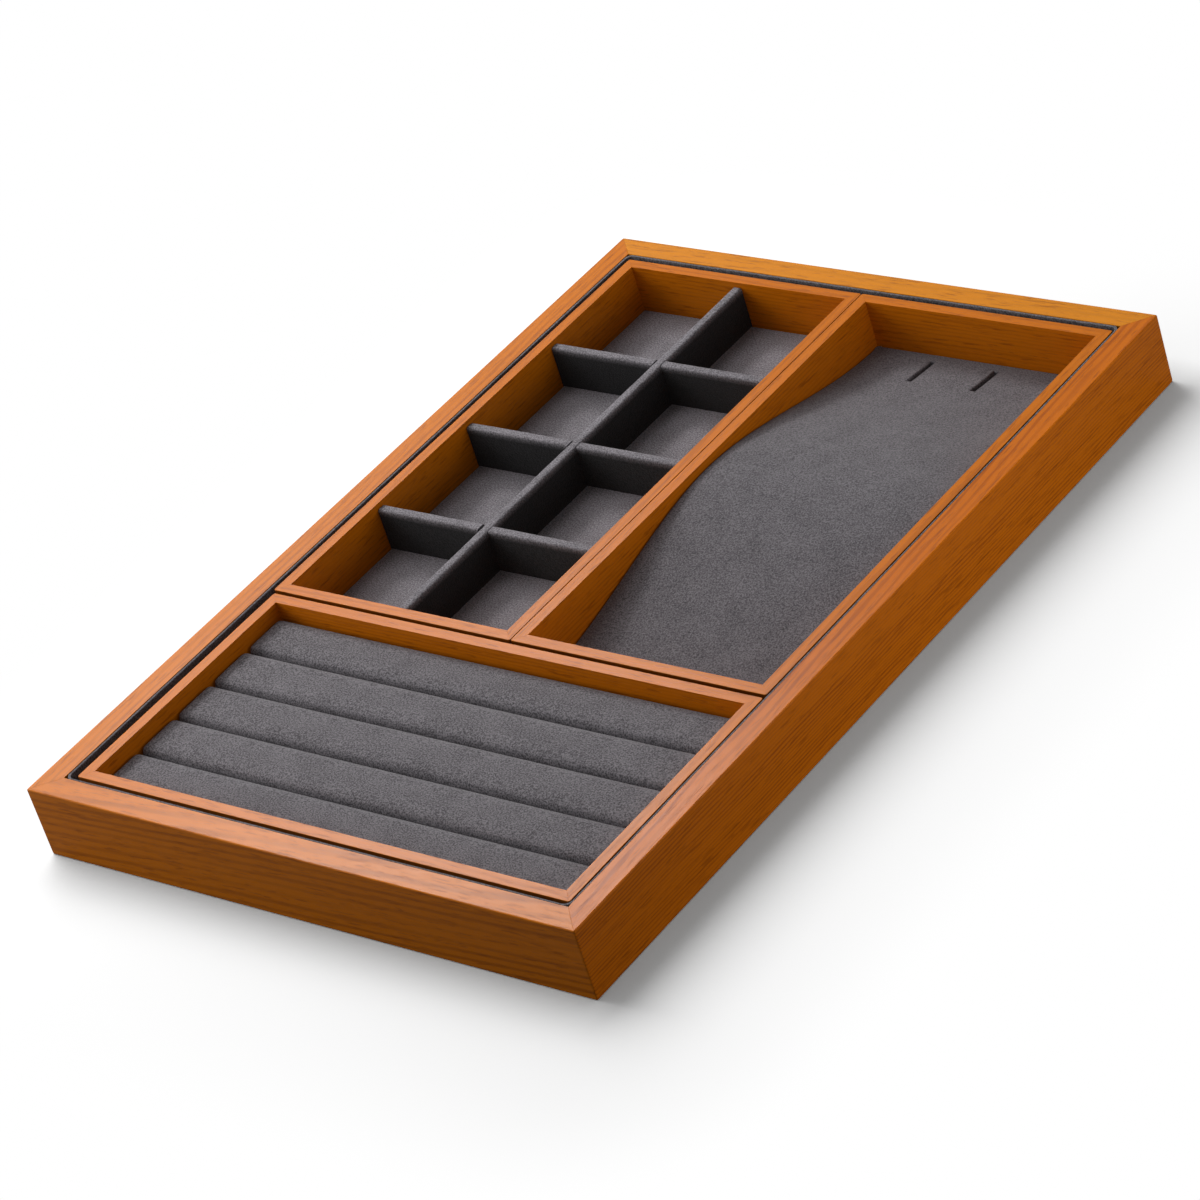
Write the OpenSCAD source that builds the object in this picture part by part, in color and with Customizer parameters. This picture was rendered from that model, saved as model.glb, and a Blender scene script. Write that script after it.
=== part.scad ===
// Stackable jewellery tray: a mitred wooden frame that holds three lift-out trays.
// Sizes are millimetres. The origin lies on the ground under the middle of the frame,
// with X to the right, Y to the back and Z up.

/* [Outer frame] */
// Overall width, left to right
frame_w = 240; // [200:1:320]
// Overall length, front to back
frame_l = 350; // [320:1:440]
// Height of the outer rails
frame_h = 28; // [25:0.5:45]
// Thickness of the outer rails
frame_t = 9.5; // [7:0.5:14]
// Rounding of the frame's upright corners
frame_corner_r = 1.2; // [0.5:0.1:3]
// Rounding along the edges of the outer rails
frame_arris_r = 0.9; // [0.3:0.1:1.5]

/* [Base] */
// Thickness of the base panel
base_t = 3; // [2:0.5:5]
// Depth of the rebate in the rails that takes the base panel
base_rebate = 4; // [2:0.5:5]
// Gap round the base panel in its rebate
base_fit = 0.2; // [0.1:0.05:0.5]
// Height of the underside cloth above the ground
cloth_lift = 0.4; // [0.2:0.1:1]
// Thickness of the underside cloth
cloth_t = 0.6; // [0.4:0.1:1.5]

/* [Linings] */
// Thickness of the cloth strip glued round the inside of the rails
wall_lining_t = 1; // [0.6:0.1:2]
// Distance from the frame's rim down to the top of that strip
wall_lining_drop = 0.2; // [0.2:0.1:3]
// Rounding of the strip in the corners
wall_lining_r = 2.5; // [0.5:0.1:3]
// Thickness of the lined card on the base panel
base_lining_t = 1; // [0.6:0.1:2]
// Gap between the lined card and the strip
lining_fit = 0.2; // [0.1:0.05:0.5]

/* [Lift-out trays] */
// Thickness of the tray rails
tray_t = 4.5; // [3.5:0.1:6]
// Rounding of a tray's upright corners
tray_corner_r = 0.8; // [0.3:0.1:2]
// Rounding along the edges of the tray rails
tray_arris_r = 0.6; // [0.3:0.1:1]
// Thickness of the tray bases
tray_base_t = 2.5; // [1.5:0.1:4]
// Depth of the rebate in the tray rails that takes the base
tray_rebate = 2; // [1:0.1:2.5]
// Gap round a tray base in its rebate
tray_base_fit = 0.15; // [0.05:0.05:0.4]
// Distance from the frame's rim down to the tray rims
tray_rim_drop = 0; // [0:0.1:3]
// Front-to-back size of the ring tray
ring_tray_d = 107.6; // [80:0.1:140]
// Gap between the ring tray and the lining on the left
ring_left_gap = 3.4; // [0.4:0.1:4]
// Gap between the compartment tray and the lining on the left
grid_left_gap = 1.8; // [0.4:0.1:4]
// Gap between the trays and the lining on the right
right_gap = 0.2; // [0.2:0.1:4]
// Gap between the ring tray and the lining at the front
front_gap = 1.1; // [0.4:0.1:4]
// Gap between the back trays and the lining at the back
back_gap = 2.2; // [0.4:0.1:4]
// Gap between the two back trays
middle_gap = 0.2; // [0.2:0.1:4]
// Gap between the ring tray and the back trays
cross_gap = 1.5; // [0.4:0.1:4]

/* [Compartments] */
// Thickness of the covered floor card
floor_pad_t = 1.8; // [1:0.1:3]
// Gap between the floor card and the tray rails
floor_pad_fit = 0.3; // [0.1:0.05:0.6]
// Thickness of a covered divider
divider_t = 4; // [2.5:0.1:6]
// Distance from the tray rim down to the divider tops
divider_drop = 2; // [0.5:0.1:6]
// Rounding of the divider tops
divider_edge_r = 0.9; // [0.3:0.1:1.2]
// Gap between a divider's ends and the tray rails
divider_fit = 0.4; // [0.3:0.05:1]
// Gap on each side where two dividers lap
lap_fit = 0.15; // [0.05:0.05:0.3]

/* [Necklace pad] */
// Distance from the tray rim down to the crest of the hump
pad_crest_drop = 2.1; // [0.5:0.1:6]
// Height of the pad's two ends above the tray base
pad_end_h = 1.7; // [1.4:0.1:4]
// Thickness of the cover over the foam
pad_cover_t = 1; // [0.6:0.1:1.2]
// Gap between the pad and the tray rails
pad_fit = 0.3; // [0.1:0.05:0.6]
// Length of a slot
slot_l = 15.1; // [8:0.1:24]
// Width of a slot
slot_w = 2; // [1:0.1:4]
// Distance from the pad's back end to the slots
slot_inset = 4.6; // [3:0.1:12]
// Distance from the pad's left edge to the middle of the first slot
slot_left = 27.6; // [10:0.1:40]
// Distance between the slots
slot_pitch = 27.7; // [15:0.1:35]

/* [Ring rolls] */
// Thickness of the card under the rolls
card_t = 1.5; // [1:0.1:3]
// Distance from the tray rim down to the crowns of the rolls
roll_drop = 5.4; // [3:0.1:8]
// Radius of a roll's crown
roll_crown_r = 28; // [16:0.5:60]
// Radius of a roll's long edges
roll_edge_r = 4.5; // [2:0.1:5.5]
// Thickness of the cover over a roll's foam
roll_cover_t = 1; // [0.6:0.1:1.2]
// Rounding of a roll's two ends
roll_end_r = 2; // [0.5:0.1:3]
// Gap between neighbouring rolls
roll_gap = 0.3; // [0.2:0.05:1]
// Gap between the rolls and the tray rails
roll_fit = 0.3; // [0.1:0.05:0.6]

/* [Hidden] */

$fn = 48;

wood = "#b8743a";
dark_wood = "#a4622c";
panel_wood = "#c9a26b";
suede = "#4c494d";
dark_suede = "#3a373b";
card_grey = "#8a8580";
foam_grey = "#5a575c";

// The four sides of a mitred frame, in the order of quarter turns from the front
SIDES = ["front", "right", "back", "left"];

// Counts that the photographed tray has
grid_rows = 4;
roll_count = 5;
slot_count = 2;
pad_steps = 48;

// Heights of the layers, from the ground up
base_z = cloth_lift + cloth_t;
lining_z = base_z + base_t;
tray_z = lining_z + base_lining_t;
tray_h = frame_h - tray_rim_drop - tray_z;
tray_floor_z = tray_z + tray_base_t;
rim_z = tray_z + tray_h;

// The opening between the outer rails, and the well that the linings leave in it
opening_w = frame_w - 2 * frame_t;
opening_l = frame_l - 2 * frame_t;
well_w = opening_w - 2 * wall_lining_t;
well_l = opening_l - 2 * wall_lining_t;

// Outside sizes of the three trays
ring_size = [well_w - ring_left_gap - right_gap, ring_tray_d];
back_w = (well_w - grid_left_gap - middle_gap - right_gap) / 2;
back_l = well_l - front_gap - ring_tray_d - cross_gap - back_gap;
back_size = [back_w, back_l];

// Middles of the three trays
ring_at = [(ring_left_gap - right_gap) / 2, -well_l / 2 + front_gap + ring_tray_d / 2, tray_z];
back_y = well_l / 2 - back_gap - back_l / 2;
grid_at = [grid_left_gap + back_w / 2 - well_w / 2, back_y, tray_z];
necklace_at = [well_w / 2 - right_gap - back_w / 2, back_y, tray_z];

// Space inside the rails of a tray
function inside(size) = [size.x - 2 * tray_t, size.y - 2 * tray_t];

// Divider lattice
divider_z = tray_floor_z + floor_pad_t;
divider_h = rim_z - divider_drop - divider_z;
grid_inside = inside(back_size);
row_step = (grid_inside.y + divider_t) / grid_rows;

// Necklace pad, seen from the side: it rises and falls as one wave between its two ends
pad_size = [inside(back_size).x - 2 * pad_fit, inside(back_size).y - 2 * pad_fit];
pad_crest_h = rim_z - pad_crest_drop - tray_floor_z;
function pad_h(u) = pad_end_h + (pad_crest_h - pad_end_h) * pow(sin(180 * u), 2);

// Ring rolls
roll_z = tray_floor_z + card_t;
roll_h = rim_z - roll_drop - roll_z;
roll_l = inside(ring_size).x - 2 * roll_fit;
roll_w = (inside(ring_size).y - 2 * roll_fit - (roll_count - 1) * roll_gap) / roll_count;

// A flat rectangle about the origin
module slab(size, t) {
    translate([-size.x / 2, -size.y / 2, 0]) cube([size.x, size.y, t]);
}

// A rectangle with round corners, from the origin
module soft_square(w, h, r) {
    translate([r, 0]) square([w - 2 * r, h]);
    translate([0, r]) square([w, h - 2 * r]);
    for (x = [r, w - r], y = [r, h - r]) translate([x, y]) circle(r);
}

// The same rectangle about the origin, raised to a height
module soft_block(size, h, r) {
    translate([-size.x / 2, -size.y / 2, 0]) linear_extrude(h) soft_square(size.x, size.y, r);
}

// A shape drawn across X, with its upright side as Z, drawn out along X about the origin
module along_x(length) {
    translate([-length / 2, 0, 0]) rotate([90, 0, 90]) linear_extrude(length) children();
}

// A rail of one side of a mitred frame, with round edges and a rebate below for the base
module mitred_rail(size, side, t, h, arris_r, corner_r, rebate, rebate_h) {
    across = side == "front" || side == "back";
    length = across ? size.x : size.y;
    depth = across ? size.y : size.x;
    quarter_turns = search([side], SIDES)[0];
    intersection() {
        rotate(90 * quarter_turns) translate([0, -depth / 2, 0]) intersection() {
            along_x(length) difference() {
                soft_square(t, h, arris_r);
                translate([t - rebate, -h]) square([t, h + rebate_h]);
            }
            linear_extrude(h) polygon([
                [-length / 2, 0], [length / 2, 0], [length / 2 - t, t], [t - length / 2, t]
            ]);
        }
        soft_block(size, h, corner_r);
    }
}

module outer_rail(side, tone) {
    color(tone) mitred_rail([frame_w, frame_l], side, frame_t, frame_h, frame_arris_r,
        frame_corner_r, base_rebate, lining_z);
}

module tray_rail(at, size, side, tone) {
    color(tone) translate(at) mitred_rail(size, side, tray_t, tray_h, tray_arris_r,
        tray_corner_r, tray_rebate, tray_base_t);
}

module tray_base(at, size) {
    edge = tray_rebate - tray_base_fit;
    color(panel_wood) translate(at)
        slab([inside(size).x + 2 * edge, inside(size).y + 2 * edge], tray_base_t);
}

// Outer tray

module base_panel() {
    edge = base_rebate - base_fit;
    color(panel_wood) translate([0, 0, base_z])
        slab([opening_w + 2 * edge, opening_l + 2 * edge], base_t);
}

module underside_cloth() {
    edge = base_rebate - base_fit;
    color(dark_suede) translate([0, 0, cloth_lift])
        slab([opening_w + 2 * edge, opening_l + 2 * edge], cloth_t);
}

module base_lining() {
    size = [well_w - 2 * lining_fit, well_l - 2 * lining_fit];
    color(dark_suede) translate([0, 0, lining_z]) soft_block(size, base_lining_t, wall_lining_r);
}

module wall_lining() {
    h = frame_h - wall_lining_drop - lining_z;
    color(suede) translate([0, 0, lining_z]) difference() {
        slab([opening_w, opening_l], h);
        translate([0, 0, -h]) soft_block([well_w, well_l], 3 * h, wall_lining_r);
    }
}

// Compartment tray

module grid_floor_pad() {
    size = [grid_inside.x - 2 * floor_pad_fit, grid_inside.y - 2 * floor_pad_fit];
    color(suede) translate([grid_at.x, grid_at.y, tray_floor_z]) slab(size, floor_pad_t);
}

// A divider along X with round top edges, standing on the origin
module divider(length) {
    along_x(length) translate([-divider_t / 2, 0]) union() {
        soft_square(divider_t, divider_h, divider_edge_r);
        square([divider_t, divider_h / 2]);
    }
}

// The cut that lets two dividers cross, upright about the origin
module lap(low, high) {
    width = divider_t + 2 * lap_fit;
    translate([0, 0, low]) slab([width, width], high - low);
}

module long_divider() {
    length = grid_inside.y - 2 * divider_fit;
    color(suede) translate([grid_at.x, grid_at.y, divider_z]) difference() {
        rotate(90) divider(length);
        for (row = [1 : grid_rows - 1])
            translate([0, (row - grid_rows / 2) * row_step, 0])
                lap(-divider_h, divider_h / 2 + lap_fit);
    }
}

module cross_divider(row) {
    length = grid_inside.x - 2 * divider_fit;
    y = grid_at.y + (row - grid_rows / 2) * row_step;
    color(suede) translate([grid_at.x, y, divider_z]) difference() {
        divider(length);
        lap(divider_h / 2, 2 * divider_h);
    }
}

// Necklace tray

// The pad from its cloth surface drawn in by a depth, down to a height above the tray base
module pad_solid(depth, low) {
    length = pad_size.y - 2 * depth;
    along_x(pad_size.x - 2 * depth) polygon([
        for (i = [0 : pad_steps])
            let (y = length * (i / pad_steps - 0.5)) [y, pad_h(y / pad_size.y + 0.5) - depth],
        [length / 2, low],
        [-length / 2, low]
    ]);
}

module pad_slots() {
    for (i = [0 : slot_count - 1])
        translate([
            slot_left + i * slot_pitch - pad_size.x / 2,
            pad_size.y / 2 - slot_inset - slot_l / 2,
            -pad_crest_h
        ]) soft_block([slot_w, slot_l], 3 * pad_crest_h, 0.49 * slot_w);
}

module necklace_pad_core() {
    color(foam_grey) translate([necklace_at.x, necklace_at.y, tray_floor_z]) difference() {
        pad_solid(pad_cover_t, 0);
        pad_slots();
    }
}

module necklace_pad_cover() {
    color(suede) translate([necklace_at.x, necklace_at.y, tray_floor_z]) difference() {
        pad_solid(0, 0);
        pad_solid(pad_cover_t, -pad_cover_t);
        pad_slots();
    }
}

// Ring tray

module ring_backing_card() {
    size = [roll_l, inside(ring_size).y - 2 * roll_fit];
    color(card_grey) translate([ring_at.x, ring_at.y, tray_floor_z]) slab(size, card_t);
}

// A roll seen from its end, drawn in by a depth: a wide crown that runs smoothly into two tighter edges
module roll_end(depth, low) {
    edge_y = roll_w / 2 - roll_edge_r;
    edge_z = roll_h - roll_crown_r + sqrt(pow(roll_crown_r - roll_edge_r, 2) - pow(edge_y, 2));
    crown_y = edge_y * (roll_crown_r - depth) / (roll_crown_r - roll_edge_r);
    intersection() {
        translate([0, roll_h - roll_crown_r]) circle(roll_crown_r - depth, $fn = 96);
        translate([-crown_y, 0]) square([2 * crown_y, roll_h]);
    }
    for (y = [-edge_y, edge_y]) translate([y, edge_z]) circle(roll_edge_r - depth);
    translate([depth - roll_w / 2, low]) square([roll_w - 2 * depth, edge_z - low]);
}

// A roll from its cloth surface drawn in by a depth, down to a height above the card
module roll_solid(depth, low) {
    length = roll_l - 2 * depth;
    intersection() {
        along_x(length) roll_end(depth, low);
        rotate(90) along_x(roll_w) translate([-length / 2, 0]) union() {
            soft_square(length, roll_h - depth, roll_end_r);
            translate([0, low]) square([length, roll_h / 2 - low]);
        }
    }
}

function roll_at(number) =
    [ring_at.x, ring_at.y + (number - (roll_count + 1) / 2) * (roll_w + roll_gap), roll_z];

module ring_roll_core(number) {
    color(foam_grey) translate(roll_at(number)) roll_solid(roll_cover_t, 0);
}

module ring_roll_cover(number) {
    color(suede) translate(roll_at(number)) difference() {
        roll_solid(0, 0);
        roll_solid(roll_cover_t, -roll_cover_t);
    }
}

outer_rail("front", wood);  // front_rail
outer_rail("right", dark_wood);  // right_rail
outer_rail("back", wood);  // back_rail
outer_rail("left", dark_wood);  // left_rail
base_panel();
underside_cloth();
base_lining();
wall_lining();

tray_rail(grid_at, back_size, "front", wood);  // grid_front_rail
tray_rail(grid_at, back_size, "right", dark_wood);  // grid_right_rail
tray_rail(grid_at, back_size, "back", wood);  // grid_back_rail
tray_rail(grid_at, back_size, "left", dark_wood);  // grid_left_rail
tray_base(grid_at, back_size);  // grid_base
grid_floor_pad();
long_divider();
cross_divider(1);  // cross_divider_front
cross_divider(2);  // cross_divider_middle
cross_divider(3);  // cross_divider_back

tray_rail(necklace_at, back_size, "front", wood);  // necklace_front_rail
tray_rail(necklace_at, back_size, "right", dark_wood);  // necklace_right_rail
tray_rail(necklace_at, back_size, "back", wood);  // necklace_back_rail
tray_rail(necklace_at, back_size, "left", dark_wood);  // necklace_left_rail
tray_base(necklace_at, back_size);  // necklace_base
necklace_pad_core();
necklace_pad_cover();

tray_rail(ring_at, ring_size, "front", wood);  // ring_front_rail
tray_rail(ring_at, ring_size, "right", dark_wood);  // ring_right_rail
tray_rail(ring_at, ring_size, "back", wood);  // ring_back_rail
tray_rail(ring_at, ring_size, "left", dark_wood);  // ring_left_rail
tray_base(ring_at, ring_size);  // ring_base
ring_backing_card();
ring_roll_core(1);  // ring_roll_core_1
ring_roll_core(2);  // ring_roll_core_2
ring_roll_core(3);  // ring_roll_core_3
ring_roll_core(4);  // ring_roll_core_4
ring_roll_core(5);  // ring_roll_core_5
ring_roll_cover(1);  // ring_roll_cover_1
ring_roll_cover(2);  // ring_roll_cover_2
ring_roll_cover(3);  // ring_roll_cover_3
ring_roll_cover(4);  // ring_roll_cover_4
ring_roll_cover(5);  // ring_roll_cover_5
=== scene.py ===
# %% [markdown]
# # A stackable jewellery tray
# A low wooden frame holds three smaller wooden trays: one with eight compartments, one with a humped pad
# and one with five soft rolls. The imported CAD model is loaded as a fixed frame. Every piece made below takes
# its place from the CAD node that it stands for, so nothing has to be fitted by eye. Lengths are written in
# millimetres, and MM turns them into Blender's metres.

# %% Load the frame
import math
import random

import bmesh
import bpy
from mathutils import Matrix, Vector


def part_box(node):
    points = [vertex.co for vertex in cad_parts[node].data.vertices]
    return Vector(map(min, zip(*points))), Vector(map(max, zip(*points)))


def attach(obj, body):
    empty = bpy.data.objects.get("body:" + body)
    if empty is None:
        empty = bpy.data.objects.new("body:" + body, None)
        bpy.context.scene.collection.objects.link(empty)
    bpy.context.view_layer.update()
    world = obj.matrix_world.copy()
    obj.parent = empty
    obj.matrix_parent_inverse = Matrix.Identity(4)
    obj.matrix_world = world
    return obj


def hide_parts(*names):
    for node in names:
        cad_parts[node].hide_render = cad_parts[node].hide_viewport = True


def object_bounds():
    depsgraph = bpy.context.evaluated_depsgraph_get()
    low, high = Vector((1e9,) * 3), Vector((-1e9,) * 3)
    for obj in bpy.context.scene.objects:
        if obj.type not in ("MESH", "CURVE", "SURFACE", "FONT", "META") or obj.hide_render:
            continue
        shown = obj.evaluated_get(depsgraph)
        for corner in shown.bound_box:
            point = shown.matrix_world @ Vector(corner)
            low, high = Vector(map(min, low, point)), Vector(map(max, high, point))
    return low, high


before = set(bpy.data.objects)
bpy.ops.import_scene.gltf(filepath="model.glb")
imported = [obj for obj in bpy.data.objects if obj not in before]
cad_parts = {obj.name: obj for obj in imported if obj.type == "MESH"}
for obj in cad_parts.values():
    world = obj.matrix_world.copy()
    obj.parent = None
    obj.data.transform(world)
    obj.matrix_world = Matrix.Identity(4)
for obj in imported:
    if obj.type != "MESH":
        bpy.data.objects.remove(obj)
cad_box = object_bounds()
MM = 0.001
print("CAD box in mm:", [round(v / MM, 2) for corner in cad_box for v in corner])

# %% [markdown]
# ## Camera
# The photograph was taken with a long lens from the front right, with the camera rolled so that the tray
# seems to slide down to the left. The place and the axes below were solved from the tray's corners. Setting
# the axes directly keeps the roll, which aiming at a target would lose.

# %% Camera
scene = bpy.context.scene
CAMERA_AT = Vector((1020.34, -969.93, 900.58)) * MM
CAMERA_RIGHT = Vector((0.77294652, 0.577884, -0.26192322))
CAMERA_UP = Vector((-0.15768077, 0.57483195, 0.80293525))
SENSOR = 36.0
PHOTO_PX, FOCAL_PX = 1200, 4832.1
LENS = SENSOR * FOCAL_PX / PHOTO_PX

bpy.ops.object.select_all(action="DESELECT")
bpy.ops.object.camera_add(location=CAMERA_AT)
camera = bpy.context.object
camera.name = "photo_camera"
camera.data.sensor_width = SENSOR
camera.data.lens = LENS
axes = Matrix((CAMERA_RIGHT, CAMERA_UP, CAMERA_RIGHT.cross(CAMERA_UP))).transposed()
camera.rotation_euler = axes.to_euler()
scene.camera = camera
print("Camera with a", round(LENS, 1), "mm lens")

# %% [markdown]
# ## Colours and nodes
# Colours are picked as sRGB hex values, as from a paint chart, while a shader works in linear light. One
# function turns the first into the second. Another adds one node with its settings and links, which keeps
# each material below as a short list.

# %% Colours and nodes
def linear(hex_colour):
    """An sRGB hex colour as the linear RGBA that a shader socket takes."""
    channels = [int(hex_colour[i:i + 2], 16) / 255 for i in (1, 3, 5)]
    return [c / 12.92 if c <= 0.04045 else ((c + 0.055) / 1.055) ** 2.4 for c in channels] + [1.0]


def add_node(tree, kind, settings=None, **sockets):
    """Adds a node. A socket takes a value, or another node's output, and is named with _ for a space."""
    node = tree.nodes.new(kind)
    for name, value in (settings or {}).items():
        setattr(node, name, value)
    for name, value in sockets.items():
        key = name.replace("_", " ")
        socket = node.inputs[int(key[3:])] if key.startswith("in ") else node.inputs[key]
        if isinstance(value, bpy.types.NodeSocket):
            tree.links.new(value, socket)
        else:
            socket.default_value = value
    return node


def new_material(name):
    """An empty material with its output node, as (material, tree, output)."""
    material = bpy.data.materials.new(name)
    material.use_nodes = True
    tree = material.node_tree
    tree.nodes.clear()
    return material, tree, tree.nodes.new("ShaderNodeOutputMaterial")


# %% [markdown]
# ## White room and paper
# The tray lies on white paper in a dim room. In a catalogue picture such paper is retouched to plain white,
# and only the shadow close to the object is left. The paper and the room do that here. Light Path tells rays
# that the camera sends, or that a glossy or clear surface sends on, from light that bounces about. To the
# first the room is white, and so is the paper, apart from a border round the tray that keeps its shading.
# The border follows the tray's outline. To bouncing light the paper is dark, so that it doesn't brighten the
# outer sides from below, and in reflections it is greyer than to the eye, or the lacquer would look milky.

# %% White room and paper
WHITE = (1, 1, 1, 1)
ROOM_LIGHT = 0.2
PAPER = "#2E2E2E"
PAPER_SEEN, PAPER_MIRRORED = 1.65, 0.7
SHADED_TO, WHITE_FROM = 12 * MM, 95 * MM
FLOOR_SIDE = 8.0


def seen_rays(tree):
    """1 for rays from the camera, and for those that a glossy or clear surface sends on."""
    path = add_node(tree, "ShaderNodeLightPath")
    first = add_node(tree, "ShaderNodeMath", {"operation": "ADD"},
                     in_0=path.outputs["Is Camera Ray"], in_1=path.outputs["Is Glossy Ray"])
    both = add_node(tree, "ShaderNodeMath", {"operation": "ADD", "use_clamp": True},
                    in_0=first.outputs[0], in_1=path.outputs["Is Transmission Ray"])
    return both.outputs[0]


world = bpy.data.worlds.new("white_room")
scene.world = world
world.use_nodes = True
tree = world.node_tree
tree.nodes.clear()
dim = add_node(tree, "ShaderNodeBackground", Color=WHITE, Strength=ROOM_LIGHT)
bright = add_node(tree, "ShaderNodeBackground", Color=WHITE, Strength=1.0)
room = add_node(tree, "ShaderNodeMixShader", in_0=seen_rays(tree),
                in_1=dim.outputs[0], in_2=bright.outputs[0])
add_node(tree, "ShaderNodeOutputWorld", Surface=room.outputs[0])

# Matt paper: plain white from a distance, with a soft grey shadow close to the tray
paper, tree, output = new_material("white_paper")
place = add_node(tree, "ShaderNodeTexCoord")
quarter = add_node(tree, "ShaderNodeVectorMath", {"operation": "ABSOLUTE"}, in_0=place.outputs["Object"])
beyond = add_node(tree, "ShaderNodeVectorMath", {"operation": "SUBTRACT"},
                  in_0=quarter.outputs[0], in_1=(cad_box[1][0], cad_box[1][1], 0))
outside = add_node(tree, "ShaderNodeVectorMath", {"operation": "MAXIMUM"},
                   in_0=beyond.outputs[0], in_1=(0, 0, 0))
away = add_node(tree, "ShaderNodeVectorMath", {"operation": "LENGTH"}, in_0=outside.outputs[0])
fade = add_node(tree, "ShaderNodeMapRange", {"interpolation_type": "SMOOTHSTEP"},
                Value=away.outputs["Value"], From_Min=SHADED_TO, From_Max=WHITE_FROM)
path = add_node(tree, "ShaderNodeLightPath")
brightness = add_node(tree, "ShaderNodeMix", {"data_type": "RGBA"}, in_0=path.outputs["Is Glossy Ray"],
                      in_6=(PAPER_SEEN, PAPER_SEEN, PAPER_SEEN, 1),
                      in_7=(PAPER_MIRRORED, PAPER_MIRRORED, PAPER_MIRRORED, 1))
shaded = add_node(tree, "ShaderNodeBsdfDiffuse", Color=brightness.outputs[2])
plain = add_node(tree, "ShaderNodeEmission", Strength=1.0)
shown = add_node(tree, "ShaderNodeMixShader", in_0=fade.outputs["Result"],
                 in_1=shaded.outputs[0], in_2=plain.outputs[0])
bounce = add_node(tree, "ShaderNodeBsdfDiffuse", Color=linear(PAPER))
either = add_node(tree, "ShaderNodeMixShader", in_0=seen_rays(tree),
                  in_1=bounce.outputs[0], in_2=shown.outputs[0])
tree.links.new(either.outputs[0], output.inputs["Surface"])

bpy.ops.object.select_all(action="DESELECT")
bpy.ops.mesh.primitive_plane_add(size=FLOOR_SIDE)
floor = bpy.context.object
floor.name = "floor"
floor.data.materials.append(paper)
print("Made", paper.name, "and", world.name)

# %% [markdown]
# ## Lamps
# A large softbox high on the left is the main light and makes the soft shadow. A narrow strip light at the
# back left draws the pale sheen over the lacquer, a small card low on the right brightens the right side,
# and a fill stands at the front left. Those three would each throw a shadow of their own, so they are
# flagged off the paper, as with black card on a stand. Light linking does that in Blender.

# %% Lamps
def softbox(name, azimuth, elevation, distance, width, height, radiance):
    """An area light that faces the tray. Azimuth 0 lies to the back and 90 to the left."""
    turn, lift = math.radians(azimuth), math.radians(elevation)
    toward = Vector((-math.sin(turn) * math.cos(lift), math.cos(turn) * math.cos(lift), math.sin(lift)))
    bpy.ops.object.light_add(type="AREA", location=toward * distance)
    lamp = bpy.context.object
    lamp.name = name
    lamp.data.shape = "RECTANGLE"
    lamp.data.size = width
    lamp.data.size_y = height
    lamp.data.energy = radiance * math.pi * width * height
    lamp.visible_camera = False
    lamp.rotation_euler = toward.to_track_quat("Z", "Y").to_euler()
    return lamp


softbox("key_softbox", azimuth=76, elevation=55, distance=1.2,
        width=1.0, height=1.0, radiance=2.95)
sheen = softbox("sheen_softbox", azimuth=54.6, elevation=38.5, distance=1.65,
                width=0.5, height=0.14, radiance=48)
low_card = softbox("low_card", azimuth=282, elevation=9, distance=0.42,
                   width=0.26, height=0.16, radiance=3.9)
fill = softbox("front_fill", azimuth=130, elevation=22, distance=0.75,
               width=0.4, height=0.4, radiance=3.9)

flagged = bpy.data.collections.new("flagged_off")
flagged.objects.link(floor)
flagged.collection_objects[0].light_linking.link_state = "EXCLUDE"
for lamp in (sheen, low_card, fill):
    lamp.light_linking.receiver_collection = flagged
scene.view_settings.view_transform = "Standard"

# %% [markdown]
# ## Stained wood
# The rails are ash stained orange brown under a satin lacquer. The growth rings show as straight darker
# lines along each rail, with short fine pores in between, and the lacquer gives a soft broad sheen. A flat
# stripe pattern would break at every edge. So rings are drawn as cylinders around a far-off pith, and the
# lines on the top and on the sides of a rail belong together, as in a real board. Each rail carries its own
# values for this: "grain", its place in the board, along, across and up, "growth", how narrow its rings are,
# "tone", how far it leans to honey yellow, and a fourth value, how much painted shade, almost black, its
# outer faces get where they look into the shaded gaps between the trays.

# %% Stained wood
RING_MM = 1.5
SWAY_MM, SWAY_LENGTH_MM, SWAY_BY_MM = 14, 110, 4
YEAR_MM, YEAR_LENGTH_MM = 5, 170
# Real pores are about 0.25 mm wide. They are drawn three times as wide, because they would not show.
PORE_MM, PORE_LENGTH_MM, PORE_DEPTH_MM = 0.75, 9, 0.03
# A turned pattern keeps the noise's own square grid from showing along a board.
PORE_TURN = (0.4, 0.6, 0.8)
WOOD_PALE, WOOD_RING, WOOD_PORE = "#C76A0B", "#A25009", "#7C3A05"
PLAIN_PALE, PLAIN_RING = "#C56C0C", "#B2600B"
# The middle colour is painted shade, near black, for outer faces in the gaps; the last is the grey of bounced
# light
WOOD_HONEY, WOOD_PAINTED_SHADE, WOOD_BOUNCE = "#DC9220", "#2A1204", "#5A524C"
SATIN, SATIN_PORE = 0.21, 0.33
LACQUER_SPECULAR = 0.055
# The wave texture repeats after 2 pi / 20 of its own units.
WAVE_TURN = 2 * math.pi / 20


def pattern_scale(length_mm, width_mm):
    """The scale that makes a noise's grains so long along x and so wide across."""
    return 1 / (length_mm * MM), 1 / (width_mm * MM), 1 / (width_mm * MM)


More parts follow.
